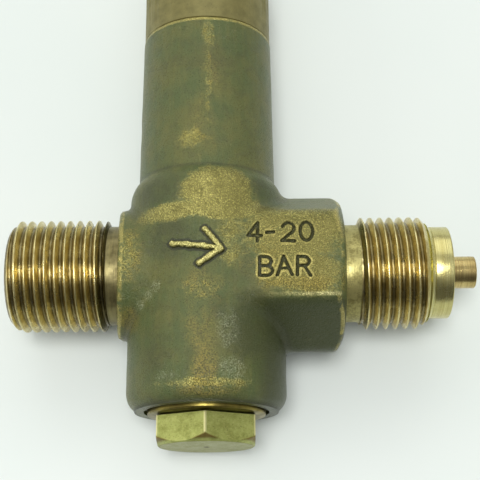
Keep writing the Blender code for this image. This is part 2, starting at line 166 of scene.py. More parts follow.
# Stamped rating and raised flow arrow on the front
STAMP_LINES = (
    (("4", 7.8), ("-", 11.2), ("2", 13.8), ("0", 17.1)),
    (("B", 9.8), ("A", 12.9), ("R", 16.4)),
)
STAMP_ROWS = (2.3, -4.05)
STAMP_HEIGHT = 3.4
STAMP_HALF_WIDTH = 0.24
STAMP_DEPTH = 0.3
ARROW_TAIL = (-5.6, 1.9)
ARROW_TIP = (3.1, 0.7)
ARROW_BARB = 4.7
ARROW_HALF_WIDTH = 0.47
ARROW_RAISE = 0.6

# Camera, turned in degrees and standing off the crossing point in mm
VIEW_TILT = 18.22
VIEW_YAW = 0.52
VIEW_ROLL = 0.46
VIEW_STANDOFF = (6.24, 6.62, 192.56)
VIEW_LENS = 76.6

# The forging's face size in mm, and the light from all round
VOXEL = 0.42
WORLD_LIGHT = 0.5


# ---- signed distances

def smooth_min(a, b, size):
    h = np.clip(0.5 + 0.5 * (b - a) / size, 0, 1)
    return b * (1 - h) + a * h - size * h * (1 - h)


def smooth_max(a, b, size):
    return -smooth_min(-a, -b, size)


def bulk_shape(x, y, z):
    side = np.hypot(x * BODY_R / BODY_SIDE_R, z) - BODY_R
    return smooth_max(smooth_max(side, BODY_BOTTOM - y, 3.7), y - BODY_TOP, 5.0)


def column_shape(x, y, z):
    climb = np.clip((y - BODY_TOP) / (COLUMN_TOP - BODY_TOP), 0, 1)
    side = np.hypot(x, z) - (COLUMN_R + (COLUMN_TOP_R - COLUMN_R) * climb)
    return smooth_max(side, y - COLUMN_TOP, 0.5)


def boss_shape(x, y, z):
    side = np.hypot(y, z * BOSS_HALF_WIDTH / BOSS_HALF_HEIGHT) - BOSS_HALF_WIDTH
    face = -BOSS_FACE + BOSS_DRAFT * np.abs(z) - x
    return smooth_max(smooth_max(side, face, 0.9), x, 1.0)


def block_shape(x, y, z):
    slope = math.sqrt(3) / 2
    flats = smooth_max(np.abs(z), np.abs(0.5 * z + slope * y), 0.4)
    flats = smooth_max(flats, np.abs(0.5 * z - slope * y), 0.4) - BLOCK_HALF
    off_axis = np.hypot(y, z)
    turned = smooth_max(off_axis - BLOCK_ROUND_R, x - BLOCK_FACE, 0.3)
    cone = ((x - BLOCK_FACE) + (off_axis - 12.6) * 0.65) / 1.19
    return smooth_max(smooth_max(flats, smooth_max(turned, cone, 0.6), 0.5), -x, 1.0)


def segment_distance(x, y, start, end):
    ax, ay = start
    bx, by = end[0] - ax, end[1] - ay
    along = np.clip(((x - ax) * bx + (y - ay) * by) / (bx * bx + by * by), 0, 1)
    return np.hypot(x - ax - along * bx, y - ay - along * by)


def arrow_barbs():
    """The two back-swept ends of the arrow's head."""
    back = math.atan2(ARROW_TAIL[1] - ARROW_TIP[1], ARROW_TAIL[0] - ARROW_TIP[0])
    return [(ARROW_TIP[0] + ARROW_BARB * math.cos(back + turn),
             ARROW_TIP[1] + ARROW_BARB * math.sin(back + turn)) for turn in (-0.75, 0.75)]


def arrow_distance(x, y):
    """Distance across the front from the middle of the nearest stroke of the arrow."""
    strokes = [segment_distance(x, y, ARROW_TIP, end) for end in (ARROW_TAIL, *arrow_barbs())]
    return np.minimum.reduce(strokes)


def arrow_height(x, y, z):
    """How far the cast arrow stands out of the body's front."""
    wobble = 0.07 * np.sin(2.3 * x + 1.1 * y) + 0.05 * np.sin(5.1 * y - 3.7 * x)
    edge = np.clip((ARROW_HALF_WIDTH + wobble + 0.16 - arrow_distance(x, y)) / 0.32, 0, 1)
    return np.where(z > 0, ARROW_RAISE * edge * edge * (3 - 2 * edge), 0)


def arc(centre, radii, start, end, steps=8):
    """Points along an elliptical arc between two angles in degrees."""
    turns = [math.radians(start + (end - start) * i / steps) for i in range(steps + 1)]
    return [(centre[0] + radii[0] * math.cos(turn), centre[1] + radii[1] * math.sin(turn))
            for turn in turns]


def letter_strokes():
    """The stamped characters as strokes, in a box one unit high."""
    bowl = arc((0.34, 0.76), (0.26, 0.24), 90, -90)
    return {
        "4": [[(0.5, 0), (0.5, 1), (0, 0.3), (0.7, 0.3)]],
        "-": [[(0, 0.46), (0.36, 0.46)]],
        "2": [[*arc((0.32, 0.7), (0.3, 0.3), 165, -38), (0, 0), (0.66, 0)]],
        "0": [arc((0.33, 0.5), (0.33, 0.5), 0, 360, 20)],
        "B": [[(0, 0), (0, 1), *bowl, (0, 0.52)],
              [(0.34, 0.52), *arc((0.36, 0.26), (0.3, 0.26), 90, -90), (0, 0)]],
        "A": [[(0, 0), (0.38, 1), (0.76, 0)], [(0.14, 0.36), (0.62, 0.36)]],
        "R": [[(0, 0), (0, 1), *bowl, (0, 0.52)], [(0.36, 0.52), (0.68, 0)]],
    }


def stamp_segments():
    """Every straight piece of the stamped strokes, as pairs of points on the front flat."""
    shapes = letter_strokes()
    spots = [(letter, x, row) for letters, row in zip(STAMP_LINES, STAMP_ROWS)
             for letter, x in letters]
    made = []
    for order, (letter, x, row) in enumerate(spots):
        lean = math.radians((-1.2, 2.0, -2.4, 0.9)[order % 4])
        across, up = STAMP_HEIGHT * math.cos(lean), STAMP_HEIGHT * math.sin(lean)
        for stroke in shapes[letter]:
            points = [(x + px * across - py * up, row + px * up + py * across) for px, py in stroke]
            made += zip(points, points[1:])
    return made


STAMP_SEGMENTS = stamp_segments()


def stamp_distance(x, y, z):
    """Distance across the front flat from the middle of the nearest stamped stroke."""
    away = np.full(x.shape, 99.0)
    near = (z > 12) & (x > 6.5) & (x < 22) & (np.abs(y) < 8)
    if near.any():
        away[near] = np.minimum.reduce([segment_distance(x[near], y[near], start, end)
                                        for start, end in STAMP_SEGMENTS])
    return away


def stamp_depth(x, y, z):
    edge = np.clip((STAMP_HALF_WIDTH + 0.1 - stamp_distance(x, y, z)) / 0.2, 0, 1)
    return STAMP_DEPTH * edge * edge * (3 - 2 * edge)


def forging(points):
    """Distance outside the forged body, with its fillets, at each point (mm)."""
    x, y, z = points.T
    shape = smooth_min(bulk_shape(x, y, z), column_shape(x, y, z), 0.45)
    shape = smooth_min(shape, boss_shape(x, y, z), 1.3)
    shape = smooth_min(shape, block_shape(x, y, z), 1.4)
    return shape - arrow_height(x, y, z) + stamp_depth(x, y, z)


def settle(points, shape, rounds=6):
    """Moves points onto the surface where shape(points) is zero."""
    step = 0.02
    for _ in range(rounds):
        slope = np.stack([(shape(points + axis) - shape(points - axis)) / (2 * step)
                          for axis in np.eye(3) * step], 1)
        size = np.maximum((slope ** 2).sum(1), 0.25)
        points = points - slope * np.clip(shape(points) / size, -0.6, 0.6)[:, None]
    return points


def relax(points, edges, shape, rounds=4):
    """Evens out the mesh along the surface where shape(points) is zero."""
    ends = np.concatenate([edges, edges[:, ::-1]])
    count = np.bincount(ends[:, 0], minlength=len(points))[:, None]
    for _ in range(rounds):
        total = np.stack([np.bincount(ends[:, 0], points[ends[:, 1], axis], len(points))
                          for axis in range(3)], 1)
        points = settle(points + 0.6 * (total / count - points), shape, 1)
    return points


def bend(points, shape, step=0.45):
    """How strongly the surface bends at each point, in 1/mm: positive on edges, negative in corners."""
    around = [shape(points + axis) + shape(points - axis) for axis in np.eye(3) * step]
    return (sum(around) - 6 * shape(points)) / step ** 2


# ---- mesh helpers

def place(points):
    """Millimetres from the crossing point to the frame's metres."""
    return np.asarray(points, float) * MM + np.array(CROSS)


def add_object(name, data):
    obj = bpy.data.objects.new(name, data)
    bpy.context.scene.collection.objects.link(obj)
    return obj


def mesh_object(name, points, faces):
    mesh = bpy.data.meshes.new(name)
    mesh.from_pydata(place(points).tolist(), [], [list(map(int, face)) for face in faces])
    mesh.update()
    mesh.shade_smooth()
    return add_object(name, mesh)


def smooth_below(obj, degrees):
    """Smooth shading, but for edges that turn by more than an angle."""
    obj.data.shade_smooth()
    obj.data.set_sharp_from_angle(angle=math.radians(degrees))
    return obj


def on_axis(axis, along, radius, angle):
    """A point at a radius and angle round the X or Y axis. Angle 0 points up from the table."""
    across, up = radius * np.sin(angle), radius * np.cos(angle)
    if axis == "Y":
        return np.stack([across, along, up], -1)
    return np.stack([along, -across, up], -1)


def revolved(axis, along, radius, steps=128):
    """Closed surface from rings: along and radius are (rings,) or (rings, steps) arrays."""
    along, radius = np.asarray(along, float), np.asarray(radius, float)
    angle = np.arange(steps) * math.tau / steps
    if along.ndim == 1:
        along = np.repeat(along[:, None], steps, 1)
    if radius.ndim == 1:
        radius = np.repeat(radius[:, None], steps, 1)
    rings = len(along)
    points = on_axis(axis, along, radius, angle[None, :].repeat(rings, 0)).reshape(-1, 3)
    index = np.arange(rings * steps).reshape(rings, steps)
    nxt = np.roll(index, -1, 1)
    below, below_next = np.roll(index, -1, 0), np.roll(nxt, -1, 0)
    faces = np.stack([index, below, below_next, nxt], -1).reshape(-1, 4)
    return points, faces


def vertex_places(obj):
    places = np.empty(len(obj.data.vertices) * 3)
    obj.data.vertices.foreach_get("co", places)
    return places.reshape(-1, 3)


def outward(obj):
    """Recalculates the normals of a closed mesh so that they face out."""
    shape = bmesh.new()
    shape.from_mesh(obj.data)
    bmesh.ops.remove_doubles(shape, verts=shape.verts, dist=1e-7)
    bmesh.ops.delete(shape, geom=[e for e in shape.edges if not e.link_faces], context="EDGES")
    bmesh.ops.recalc_face_normals(shape, faces=shape.faces)
    shape.to_mesh(obj.data)
    shape.free()
    return obj


def lathe(name, profile, axis="Y", steps=128, edge=0.0):
    """Turns a loop of (radius, along) points; edge rounds the profile's own corners."""
    points = rounded_loop(profile, edge) if edge else [Vector(p) for p in profile]
    radius = [max(p.x, 0.0) for p in points]
    along = [p.y for p in points]
    verts, faces = revolved(axis, along, radius, steps)
    return smooth_below(outward(mesh_object(name, verts, faces)), 35)


def rounded_loop(profile, edge):
    """Replaces each corner of a closed loop that lies off the axis with a short arc."""
    points = [Vector(p) for p in profile]
    made = []
    for i, here in enumerate(points):
        before, after = points[i - 1], points[(i + 1) % len(points)]
        back, ahead = before - here, after - here
        turn = back.angle(ahead, math.pi) if back.length and ahead.length else math.pi
        cut = min(edge, back.length * 0.4, ahead.length * 0.4)
        if here.x < 1e-6 or turn > math.radians(172):
            made.append(here)
            continue
        start, end = here + back.normalized() * cut, here + ahead.normalized() * cut
        for step in range(4):
            t = step / 3
            made.append((1 - t) ** 2 * start + 2 * t * (1 - t) * here + t * t * end)
    return made


def add_bar(shape, radius, low, high, axis, sides, turn=0.0):
    """Adds a round or many-sided bar along the X or Y axis, between two places on it."""
    made = bmesh.ops.create_cone(shape, cap_ends=True, segments=sides, radius1=radius,
                                 radius2=radius, depth=high - low)
    half_way = (low + high) / 2
    if axis == "Y":
        lay = Matrix.Translation((0, half_way, 0)) @ Matrix.Rotation(math.radians(-90), 4, "X")
    else:
        lay = Matrix.Translation((half_way, 0, 0)) @ Matrix.Rotation(math.radians(90), 4, "Y")
    bmesh.ops.transform(shape, matrix=lay @ Matrix.Rotation(turn, 4, "Z"), verts=made["verts"])


def finished_object(name, shape):
    """Turns an edited shape into an object of its own."""
    mesh = bpy.data.meshes.new(name)
    shape.to_mesh(mesh)
    shape.free()
    return add_object(name, mesh)


def prism(name, flats, low, high, turn=0.0):
    """A hexagonal prism along the column axis; turn = 0 puts a corner up."""
    shape = bmesh.new()
    add_bar(shape, flats / math.sqrt(3), low, high, "Y", 6, turn)
    bmesh.ops.transform(shape, matrix=Matrix.Translation(CROSS) @ Matrix.Scale(MM, 4),
                        verts=shape.verts)
    return finished_object(name, shape)


def combine(obj, other, operation):
    """Applies a Boolean with another object and removes that object."""
    modifier = obj.modifiers.new(operation, "BOOLEAN")
    modifier.operation = operation
    modifier.solver = "EXACT"
    modifier.object = other
    bake(obj)
    bpy.data.objects.remove(other, do_unlink=True)


def bake(obj):
    """Replaces the object's mesh with its evaluated one and clears its modifiers."""
    graph = bpy.context.evaluated_depsgraph_get()
    mesh = bpy.data.meshes.new_from_object(obj.evaluated_get(graph))
    obj.modifiers.clear()
    obj.data = mesh


def soften(obj, width):
    """Rounds the crisp edges with a small bevel and keeps the flats flat."""
    bevel = obj.modifiers.new("Edges", "BEVEL")
    bevel.width = width * MM
    bevel.segments = 2
    bevel.limit_method = "ANGLE"
    bevel.angle_limit = math.radians(25)
    bake(obj)
    obj.data.shade_smooth()
    weighted = obj.modifiers.new("Flat faces", "WEIGHTED_NORMAL")
    weighted.keep_sharp = True
    bake(obj)


# ---- materials

class Nodes:
    """Short calls for building one material's node tree."""

    def __init__(self, name):
        self.material = bpy.data.materials.new(name)
        self.material.use_nodes = True
        self.tree = self.material.node_tree
        self.shader = self.tree.nodes["Principled BSDF"]
        self.place = self.add("ShaderNodeTexCoord").outputs["Object"]

    def add(self, kind, inputs=None, **settings):
        """A new node, with its input sockets by name or number and its own settings."""
        node = self.tree.nodes.new(kind)
        for key, value in settings.items():
            setattr(node, key, value)
        for key, value in (inputs or {}).items():
            self.feed(node.inputs[key], value)
        return node

    def feed(self, socket, value):
        """Links a socket to another node's output, or sets its value."""
        if hasattr(value, "is_linked"):
            self.tree.links.new(value, socket)
        else:
            socket.default_value = value

    def stretched(self, scale):
        return self.add("ShaderNodeMapping", {"Scale": scale, "Vector": self.place}).outputs["Vector"]

    def noise(self, scale, detail=4.0, roughness=0.6, vector=None):
        """Noise with a feature size set by scale, in features per metre."""
        node = self.add("ShaderNodeTexNoise", {"Scale": scale, "Detail": detail, "Roughness": roughness,
                                               "Vector": vector or self.place})
        return node.outputs["Fac"]

    def speckle(self, scale, low, high):
        """Dots round scattered points."""
        node = self.add("ShaderNodeTexVoronoi", {"Scale": scale, "Vector": self.place})
        return self.ramp(node.outputs["Distance"], low, high)

    def ramp(self, value, low, high, to_low=0.0, to_high=1.0):
        """Goes smoothly from to_low to to_high as value goes from low to high."""
        limits = {"Value": value, "From Min": low, "From Max": high, "To Min": to_low, "To Max": to_high}
        return self.add("ShaderNodeMapRange", limits, interpolation_type="SMOOTHSTEP").outputs["Result"]

    def math(self, operation, a, b=0.0):
        return self.add("ShaderNodeMath", {0: a, 1: b}, operation=operation).outputs[0]

    def times(self, a, b):
        return self.math("MULTIPLY", a, b)

    def plus(self, a, b):
        return self.math("ADD", a, b)

    def minus(self, a, b):
        return self.math("SUBTRACT", a, b)

    def larger(self, a, b):
        return self.math("MAXIMUM", a, b)

    def blend(self, share, a, b):
        """Tone a where share is 0, tone b where it is 1. Tones are outputs or colours."""
        tones = {"Factor": share, "A": linear(a), "B": linear(b)}
        return self.add("ShaderNodeMix", tones, data_type="RGBA").outputs["Result"]

    def tint(self, base, strength, share, tone):
        """Lays a tone over the base at some strength, where share is 1."""
        return self.blend(self.times(share, strength), base, tone)

    def axes(self):
        """The three coordinates in mm from the crossing point."""
        split = self.add("ShaderNodeSeparateXYZ", {0: self.place})
        return [self.times(self.minus(split.outputs[i], CROSS[i]), 1 / MM) for i in range(3)]

    def near(self, centre, radii, soft):
        """1 inside an ellipsoid given in mm from the crossing point, falling softly to 0."""
        def step(operation, *values):
            return self.add("ShaderNodeVectorMath", dict(enumerate(values)), operation=operation).outputs

        off = step("SUBTRACT", self.place, place(centre).tolist())[0]
        scaled = step("DIVIDE", off, [radius * MM for radius in radii])[0]
        return self.ramp(step("LENGTH", scaled)["Value"], 1 + soft, 1 - soft)

    def corners(self, none, full):
        """Rises to 1 in hollow corners, between two values of the surface's own curvature."""
        return self.ramp(self.add("ShaderNodeNewGeometry").outputs["Pointiness"], none, full)

    def stored(self, name):
        """A value kept on the mesh's own vertices."""
        return self.add("ShaderNodeAttribute", attribute_name=name).outputs["Fac"]

    def length(self, a, b):
        """Distance from an axis, from the two coordinates across it."""
        return self.math("SQRT", self.plus(self.times(a, a), self.times(b, b)))

    def within(self, value, centre, half, soft):
        """1 where value is within half of centre, falling to 0 over soft."""
        off = self.math("ABSOLUTE", self.minus(value, centre))
        return self.ramp(off, half + soft, half)

    def bump(self, height, distance, strength=1.0):
        node = self.add("ShaderNodeBump", {"Strength": strength, "Distance": distance, "Height": height})
        self.feed(self.shader.inputs["Normal"], node.outputs["Normal"])

    def finish(self, base, metallic, roughness):
        for key, value in (("Base Color", base), ("Metallic", metallic), ("Roughness", roughness)):
            self.feed(self.shader.inputs[key], value)
        return self.material


def linear(tone, shade=1.0):
    """Turns an sRGB colour of three values, 0 to 255, into the four that a shader takes."""
    if not isinstance(tone, tuple):
        return tone
    parts = [value / 255 for value in tone]
    parts = [p / 12.92 if p <= 0.04045 else ((p + 0.055) / 1.055) ** 2.4 for p in parts]
    return [p * shade for p in parts] + [1.0]


def spread(n, patches):
    """The strongest of several soft patches at each point."""
    total = None
    for centre, radii, strength in patches:
        patch = n.times(n.near(centre, radii, PATCH_SOFTNESS), strength)
        total = patch if total is None else n.larger(total, patch)
    return total


# Patches in the patina, some of them painted sheen, shade and glints: centre and radii in mm, then the
# strength
PATCH_SOFTNESS = 0.6
# Worn bare brass, with painted sheen and highlight along the bottom rim and down the column's middle
WORN_AND_SHEEN_PATCHES = (
    ((2.6, 12.0, 14.0), (6.6, 5.0, 9.0), 1.15),
    ((4.5, 8.8, 13.5), (8.0, 2.8, 9.0), 1.1),
    ((-5.5, 8.2, 12.5), (7.5, 1.9, 6.0), 1.05),
    ((16.0, 4.0, 14.0), (11.0, 6.5, 4.0), 1.0),
    ((18.5, -4.0, 14.0), (9.0, 4.2, 4.0), 0.92),
    ((5.5, 2.5, 14.0), (4.0, 6.0, 3.0), 0.62),
    ((-14.0, 0.5, 11.0), (2.6, 5.5, 6.0), 0.66),
    ((-0.5, -6.6, 14.4), (4.0, 2.6, 3.0), 0.62),
    ((-2.5, 22.5, 13.0), (3.2, 2.4, 3.0), 0.58),
    ((0.8, 44.5, 13.0), (1.5, 3.8, 2.0), 0.6),
    ((0.6, 34.0, 13.0), (0.9, 9.0, 2.0), 0.5),
    ((0.5, -22.8, 14.0), (10.5, 1.0, 6.0), 0.78),
)
BROWN_PATCHES = (
    ((-0.3, -6.5, 14.4), (5.0, 4.5, 3.0), 0.75),
    ((-0.8, -13.0, 14.4), (3.6, 6.5, 3.0), 0.72),
    ((0.3, -20.5, 14.4), (2.6, 4.2, 3.0), 1.0),
    ((0.3, -24.0, 14.0), (7.0, 1.4, 4.0), 0.8),
    ((-13.5, -9.5, 6.0), (2.5, 3.0, 5.0), 0.8),
    ((18.0, -5.5, 13.5), (8.0, 1.6, 3.0), 0.8),
    ((-13.0, 1.0, 11.0), (2.5, 7.0, 6.0), 0.6),
    ((10.5, -1.5, 13.5), (5.0, 5.0, 3.0), 0.6),
    ((0.5, 30.0, 13.0), (3.0, 18.0, 3.0), 0.45),
)
# Dark patina, with painted shade among the patches, such as on the lower body's right side and along its
# bottom edge
DARK_PATINA_AND_SHADE_PATCHES = (
    ((-6.0, 3.2, 14.0), (7.0, 5.0, 6.0), 0.75),
    ((-8.0, 12.5, 11.5), (6.5, 3.6, 6.0), 0.8),
    ((10.5, 13.6, 9.0), (4.0, 2.4, 7.0), 0.8),
    ((8.5, -13.0, 11.0), (6.5, 7.0, 6.0), 0.95),
    ((2.6, -9.5, 14.0), (2.4, 3.4, 3.0), 0.7),
    ((-4.5, -15.0, 13.5), (2.6, 5.0, 3.0), 0.45),
    ((7.8, -2.5, 13.5), (2.4, 4.2, 3.0), 0.62),
    ((-8.0, -18.0, 11.0), (4.0, 7.0, 5.0), 0.6),
    ((0.0, 40.0, 13.0), (11.0, 5.0, 8.0), 0.5),
    ((0.0, -26.0, 9.0), (16.0, 1.8, 9.0), 0.7),
)
# Painted glints and sheen on the lower body and along the boss's fillet
PAINTED_GLINT_PATCHES = (
    ((4.2, -13.0, 14.0), (2.4, 4.5, 3.0), 0.72),
    ((4.8, -20.5, 13.5), (2.8, 2.4, 3.0), 0.9),
    ((-6.5, -21.5, 13.0), (2.6, 1.4, 3.0), 0.8),
    ((-8.6, -5.4, 12.5), (1.1, 1.3, 2.5), 1.0),
    ((-10.0, -6.8, 11.8), (1.1, 1.3, 2.5), 1.0),
    ((-11.5, -8.2, 10.6), (1.1, 1.2, 2.5), 1.0),
)


def patina_and_shade_colour(n, x, y, broad, mottle, ragged, streak):
    """The olive film over the forging: darker in places from dark patina and painted shade, and painted
    shade under the hexagon.
    """
    olive = n.blend(n.ramp(broad, 0.36, 0.64), (80, 92, 46), (96, 98, 46))
    olive = n.tint(olive, 0.3, n.ramp(streak, 0.42, 0.7), (118, 112, 58))
    olive = n.tint(olive, 0.4, n.ramp(mottle, 0.48, 0.66), (70, 76, 38))
    # Dark patina and painted shade from the patches
    dark = n.ramp(n.plus(spread(n, DARK_PATINA_AND_SHADE_PATCHES), ragged), 0.25, 1.0)
    # Painted shade on the hexagon's lower facet, which turns away from the light
    under = n.times(n.ramp(y, -7.5, -8.2), n.ramp(x, 8.0, 11.5))
    dark = n.larger(n.times(dark, 0.8), n.times(under, 0.9))
    return n.blend(dark, olive, (62, 68, 34))


def worn_and_flat_shade_colour(n, x, z, broad, mottle, grain):
    """Bare worn brass, with painted shade on the hexagon's flat."""
    worn = n.blend(n.ramp(grain, 0.38, 0.62), (112, 106, 50), (180, 172, 100))
    worn = n.tint(worn, 0.4, n.ramp(broad, 0.46, 0.6), (116, 110, 54))
    # Painted shade: the worn brass on the hexagon's front flat is darkened against the overhead light
    painted_flat_shade = n.times(n.ramp(z, BLOCK_HALF - 0.5, BLOCK_HALF - 0.1), n.ramp(x, 4.0, 8.0))
    shade = n.larger(n.ramp(mottle, 0.48, 0.66, 0.0, 0.45), n.times(painted_flat_shade, 0.5))
    return n.blend(shade, worn, (94, 88, 40))


def marked(n, base, raised, fine, grain):
    """The golden raised arrow with painted shade round its foot, and the darkened stamp with its burr.
    """
    # Painted shade in a dark line round the foot of the raised arrow
    arrow_foot_shade = n.within(n.stored("arrow"), ARROW_HALF_WIDTH + 0.22, 0.1, 0.16)
    arrow_foot_shade = n.times(arrow_foot_shade, n.ramp(fine, 0.35, 0.6, 0.3, 0.8))
    base = n.blend(arrow_foot_shade, base, (58, 54, 26))
    golden = n.blend(n.ramp(grain, 0.38, 0.6), (146, 138, 72), (212, 204, 132))
    base = n.blend(raised, base, golden)
    stamp = n.stored("stamp")
    burr = n.within(stamp, STAMP_HALF_WIDTH + 0.2, 0.05, 0.08)
    base = n.tint(base, 0.25, burr, (176, 168, 104))
    stamped = n.ramp(stamp, STAMP_HALF_WIDTH + 0.12, STAMP_HALF_WIDTH - 0.08)
    return n.tint(base, 0.62, stamped, (60, 62, 36))


def patina_brass():
    """Old forged brass: olive patina, worn golden on its high spots, with painted shade in its corners
    and painted sheen and glints in places.
    """
    n = Nodes("forged_brass")
    x, y, z = n.axes()
    broad = n.noise(150, 5, 0.62)
    fine = n.noise(900, 4, 0.7)
    grain = n.noise(3800, 3, 0.72)
    mottle = n.noise(480, 3, 0.65)
    streak = n.noise(1.0, 4, 0.65, n.stretched((1500, 160, 1500)))
    ragged = n.times(n.minus(n.plus(broad, fine), 1.0), 1.1)
    gritty = n.plus(ragged, n.times(n.minus(grain, 0.5), 0.5))
    # Worn golden brass, painted brighter as a sheen where some patches stand for highlights
    worn_and_sheen_share = n.ramp(n.plus(spread(n, WORN_AND_SHEEN_PATCHES), gritty), 0.35, 0.9)
    brown_share = n.ramp(n.plus(spread(n, BROWN_PATCHES), gritty), 0.3, 1.25)
    # Painted glints where these patches lie
    glint_share = n.times(n.ramp(n.plus(spread(n, PAINTED_GLINT_PATCHES), ragged), 0.4, 0.9),
                         n.ramp(grain, 0.44, 0.7))
    base = n.blend(worn_and_sheen_share, patina_and_shade_colour(n, x, y, broad, mottle, ragged, streak),
                   worn_and_flat_shade_colour(n, x, z, broad, mottle, grain))
    brown = n.blend(n.ramp(grain, 0.42, 0.58), (72, 62, 22), (160, 142, 64))
    base = n.tint(base, 0.75, brown_share, brown)
    # Pale painted glints
    base = n.tint(base, 0.5, glint_share, (192, 196, 162))
    # Pale flecks in the grain, painted as small glints
    glint_flecks = n.times(n.ramp(grain, 0.6, 0.74), n.ramp(fine, 0.45, 0.6))
    base = n.tint(base, 0.45, glint_flecks, (190, 184, 124))
    base = n.tint(base, 0.45, n.ramp(grain, 0.42, 0.3), (46, 48, 22))
    curve = n.stored("bend")
    rim = n.times(n.ramp(curve, 0.45, 0.95), n.ramp(n.plus(broad, gritty), 0.2, 0.6))
    lip = n.within(y, COLUMN_TOP - 0.3, 0.35, 0.25)
    rim = n.larger(rim, n.times(lip, n.ramp(fine, 0.3, 0.5)))
    base = n.tint(base, 0.8, rim, (178, 166, 96))
    # Painted highlight along the lower edge of the hexagon's front flat
    edge_highlight = n.times(n.within(y, -7.3, 0.1, 0.36), n.ramp(x, 8.0, 24.0))
    edge_highlight = n.times(edge_highlight, n.ramp(z, 12.0, 12.8))
    edge_highlight = n.times(edge_highlight, n.ramp(n.plus(fine, grain), 0.85, 1.1, 0.3, 1.0))
    base = n.tint(base, 0.85, edge_highlight, (222, 214, 150))
    raised = n.ramp(n.stored("arrow"), ARROW_HALF_WIDTH + 0.12, ARROW_HALF_WIDTH - 0.02)
    base = marked(n, base, raised, fine, grain)
    # Painted shade in the hollow corners and fillets, where the surface bends inwards
    base = n.tint(base, 0.85, n.ramp(curve, -0.15, -1.0), (46, 48, 24))
    n.bump(n.plus(n.times(fine, 0.5), n.times(grain, 0.5)), 0.0003)
    bright = n.larger(n.larger(worn_and_sheen_share, rim), n.larger(raised, edge_highlight))
    rough = n.ramp(n.minus(grain, n.times(bright, 0.2)), 0.2, 0.8, 0.22, 0.44)
    return n.finish(base, n.ramp(bright, 0.0, 1.0, 0.18, 0.65), rough)


def turned_brass(name, light, dark, axis="X", rough=0.26, dirt=0.5, metallic=1.0):
    """Machined brass with fine turning lines round the axis, darker in its hollow corners."""
    n = Nodes(name)
    across = (9000, 60, 60) if axis == "X" else (60, 9000, 60)
    lines = n.noise(1.0, 3, 0.7, n.stretched(across))
    blotch = n.noise(420, 5, 0.65)
    base = n.blend(n.ramp(blotch, 0.25, 0.8), light, dark)
    base = n.tint(base, 0.25, n.ramp(lines, 0.3, 0.7), dark)
    # Darkens the hollow corners, as strongly as the dirt argument says
    base = n.tint(base, dirt, n.corners(0.49, 0.43), (52, 40, 18))
    base = n.tint(base, 0.5, n.speckle(1300, 0.16, 0.05), (70, 58, 30))
    n.bump(lines, 0.00003, 0.8)
    return n.finish(base, metallic, n.ramp(blotch, 0.2, 0.8, rough, rough + 0.16))


def clean_brass():
    """The bright sealing collar and the browner pin beyond it."""
    n = Nodes("clean_brass")
    lines = n.noise(1.0, 3, 0.7, n.stretched((7000, 50, 50)))
    blotch = n.noise(300, 4, 0.6)
    base = n.blend(n.ramp(lines, 0.35, 0.65), (216, 208, 146), (188, 176, 112))
    base = n.tint(base, 0.3, n.ramp(blotch, 0.5, 0.7), (170, 160, 104))
    pin = n.ramp(n.axes()[0], GAUGE_END + 0.1, GAUGE_END + 0.3)
    brown = n.blend(n.ramp(lines, 0.35, 0.65), (214, 194, 132), (176, 152, 96))
    base = n.blend(pin, base, brown)
    n.bump(lines, 0.00002, 0.8)
    return n.finish(base, 1.0, n.ramp(blotch, 0.2, 0.8, 0.2, 0.32))


def plug_brass():
    """The plug's yellower brass: scratched flats, brown on the turned end, pale worn corners."""
    n = Nodes("plug_brass")
    x, y, z = n.axes()
    blotch = n.noise(500, 5, 0.7)
    grain = n.noise(3000, 4, 0.75)
    scratch = n.noise(1.0, 4, 0.7, n.stretched((500, 4200, 4200)))
    base = n.blend(n.ramp(blotch, 0.35, 0.65), (178, 182, 106), (150, 154, 82))
    base = n.tint(base, 0.45, n.ramp(scratch, 0.5, 0.68), (198, 196, 128))
    base = n.tint(base, 0.3, n.ramp(scratch, 0.42, 0.3), (122, 120, 62))
    base = n.tint(base, 0.8, n.ramp(grain, 0.42, 0.3), (72, 70, 36))
    off_axis = n.length(x, z)
    turned = n.plus(n.minus(y, PLUG_END),
                    n.times(n.minus(off_axis, PLUG_FLATS / 2), -CHAMFER_SLOPE))
    corner = n.ramp(off_axis, PLUG_FLATS / 2 + 0.1, PLUG_FLATS / 2 + 0.7)
    cone = n.times(n.ramp(turned, 0.5, 0.2), corner)
    base = n.tint(base, 0.85, cone, (116, 92, 44))
    under = n.ramp(y, PLUG_END + 0.12, PLUG_END + 0.02)
    base = n.tint(base, 0.75, under, (138, 136, 80))
    # The punch mark painted dark, as painted shade in its dent
    punch = n.times(n.ramp(off_axis, 0.62, 0.48), n.ramp(y, PLUG_END + 1.5, PLUG_END + 0.9))
    base = n.blend(punch, base, (40, 36, 18))
    seam = n.times(n.ramp(off_axis, 9.87, 9.95), n.ramp(turned, 0.3, 0.6))
    base = n.tint(base, 0.85, seam, (226, 220, 160))
    n.bump(n.plus(scratch, grain), 0.00005, 0.9)
    return n.finish(base, 0.9, n.ramp(blotch, 0.2, 0.8, 0.34, 0.5))


def neck_colour(n, x, blotch, grain, lines):
    """The dull necks between the forging and the threads, the gauge side's paler."""
    dull = n.blend(n.ramp(blotch, 0.4, 0.62), (106, 98, 60), (64, 60, 34))
    dull = n.tint(dull, 0.4, n.ramp(lines, 0.45, 0.65), (146, 136, 88))
    stain = n.times(n.ramp(n.plus(blotch, grain), 0.95, 1.15), 0.7)
    gauge_neck = n.blend(stain, (180, 172, 108), (112, 106, 58))
    return n.blend(n.ramp(x, 0.0, 1.0), dull, gauge_neck)


